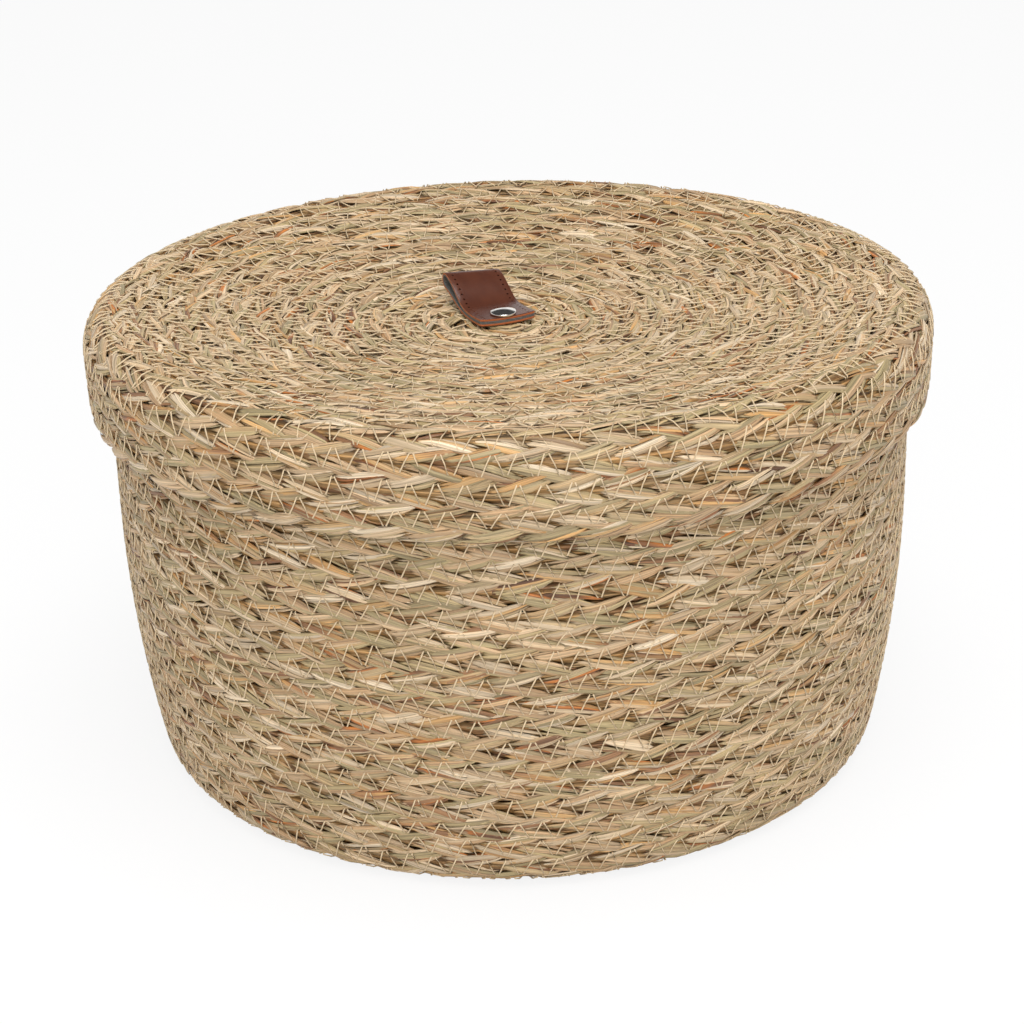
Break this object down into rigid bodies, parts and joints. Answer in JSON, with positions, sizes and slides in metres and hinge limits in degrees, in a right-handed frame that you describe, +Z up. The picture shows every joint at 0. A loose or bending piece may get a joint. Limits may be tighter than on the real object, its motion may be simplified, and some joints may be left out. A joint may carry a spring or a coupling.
{
  "type": "woven lidded box",
  "caption": "Round box coiled and sewn from plaited seagrass, with a lift-off skirted lid that carries a folded leather pull tab on a domed rivet.",
  "frame": {"origin": "middle of the underside, on the surface the box stands on", "axes": "+Z up through the lid; +Y to the back, roughly the way the folded tab points; +X to the right as the picture sees it"},
  "size_m": [0.3002, 0.3002, 0.1671],
  "materials": {
    "seagrass_plait": "dry, matt, mixed straw and sage blades in a flat three-strand plait",
    "sewing_thread": "waxed straw-coloured thread, zigzag over every seam",
    "tab_leather": "smooth brown grain, satin",
    "tab_lining": "grey split leather, matt, with raw tan edges",
    "nickel": "polished nickel plate"
  },
  "bodies": {
    "basket": {"base_coil": "seagrass_plait", "wall_coil": "seagrass_plait"},
    "lid": {"lid_top": "seagrass_plait", "lid_skirt": "seagrass_plait", "rivet_cap": "nickel", "rivet_post": "nickel"},
    "tab_ends": {"tab_lower_end": "tab_leather", "tab_upper_end": "tab_leather"},
    "tab_fold": {"tab_loop": "tab_leather"}
  },
  "joints": [
    {"name": "lid_lift", "type": "slide", "parent": "basket", "child": "lid", "axis": [0, 0, 1], "range_m": [0, 0.2]},
    {"name": "tab_swivel", "type": "hinge", "parent": "lid", "child": "tab_ends", "pos_m": [-0.0016, 0, 0.1542], "axis": [0, 0, 1], "continuous": true},
    {"name": "tab_flex", "type": "hinge", "parent": "tab_ends", "child": "tab_fold", "pos_m": [-0.00479, 0.00734, 0.1567], "axis": [0.9171, 0.3987, 0], "range_deg": [0, 75], "stiffness_Nm_per_rad": 0.02}
  ]
}
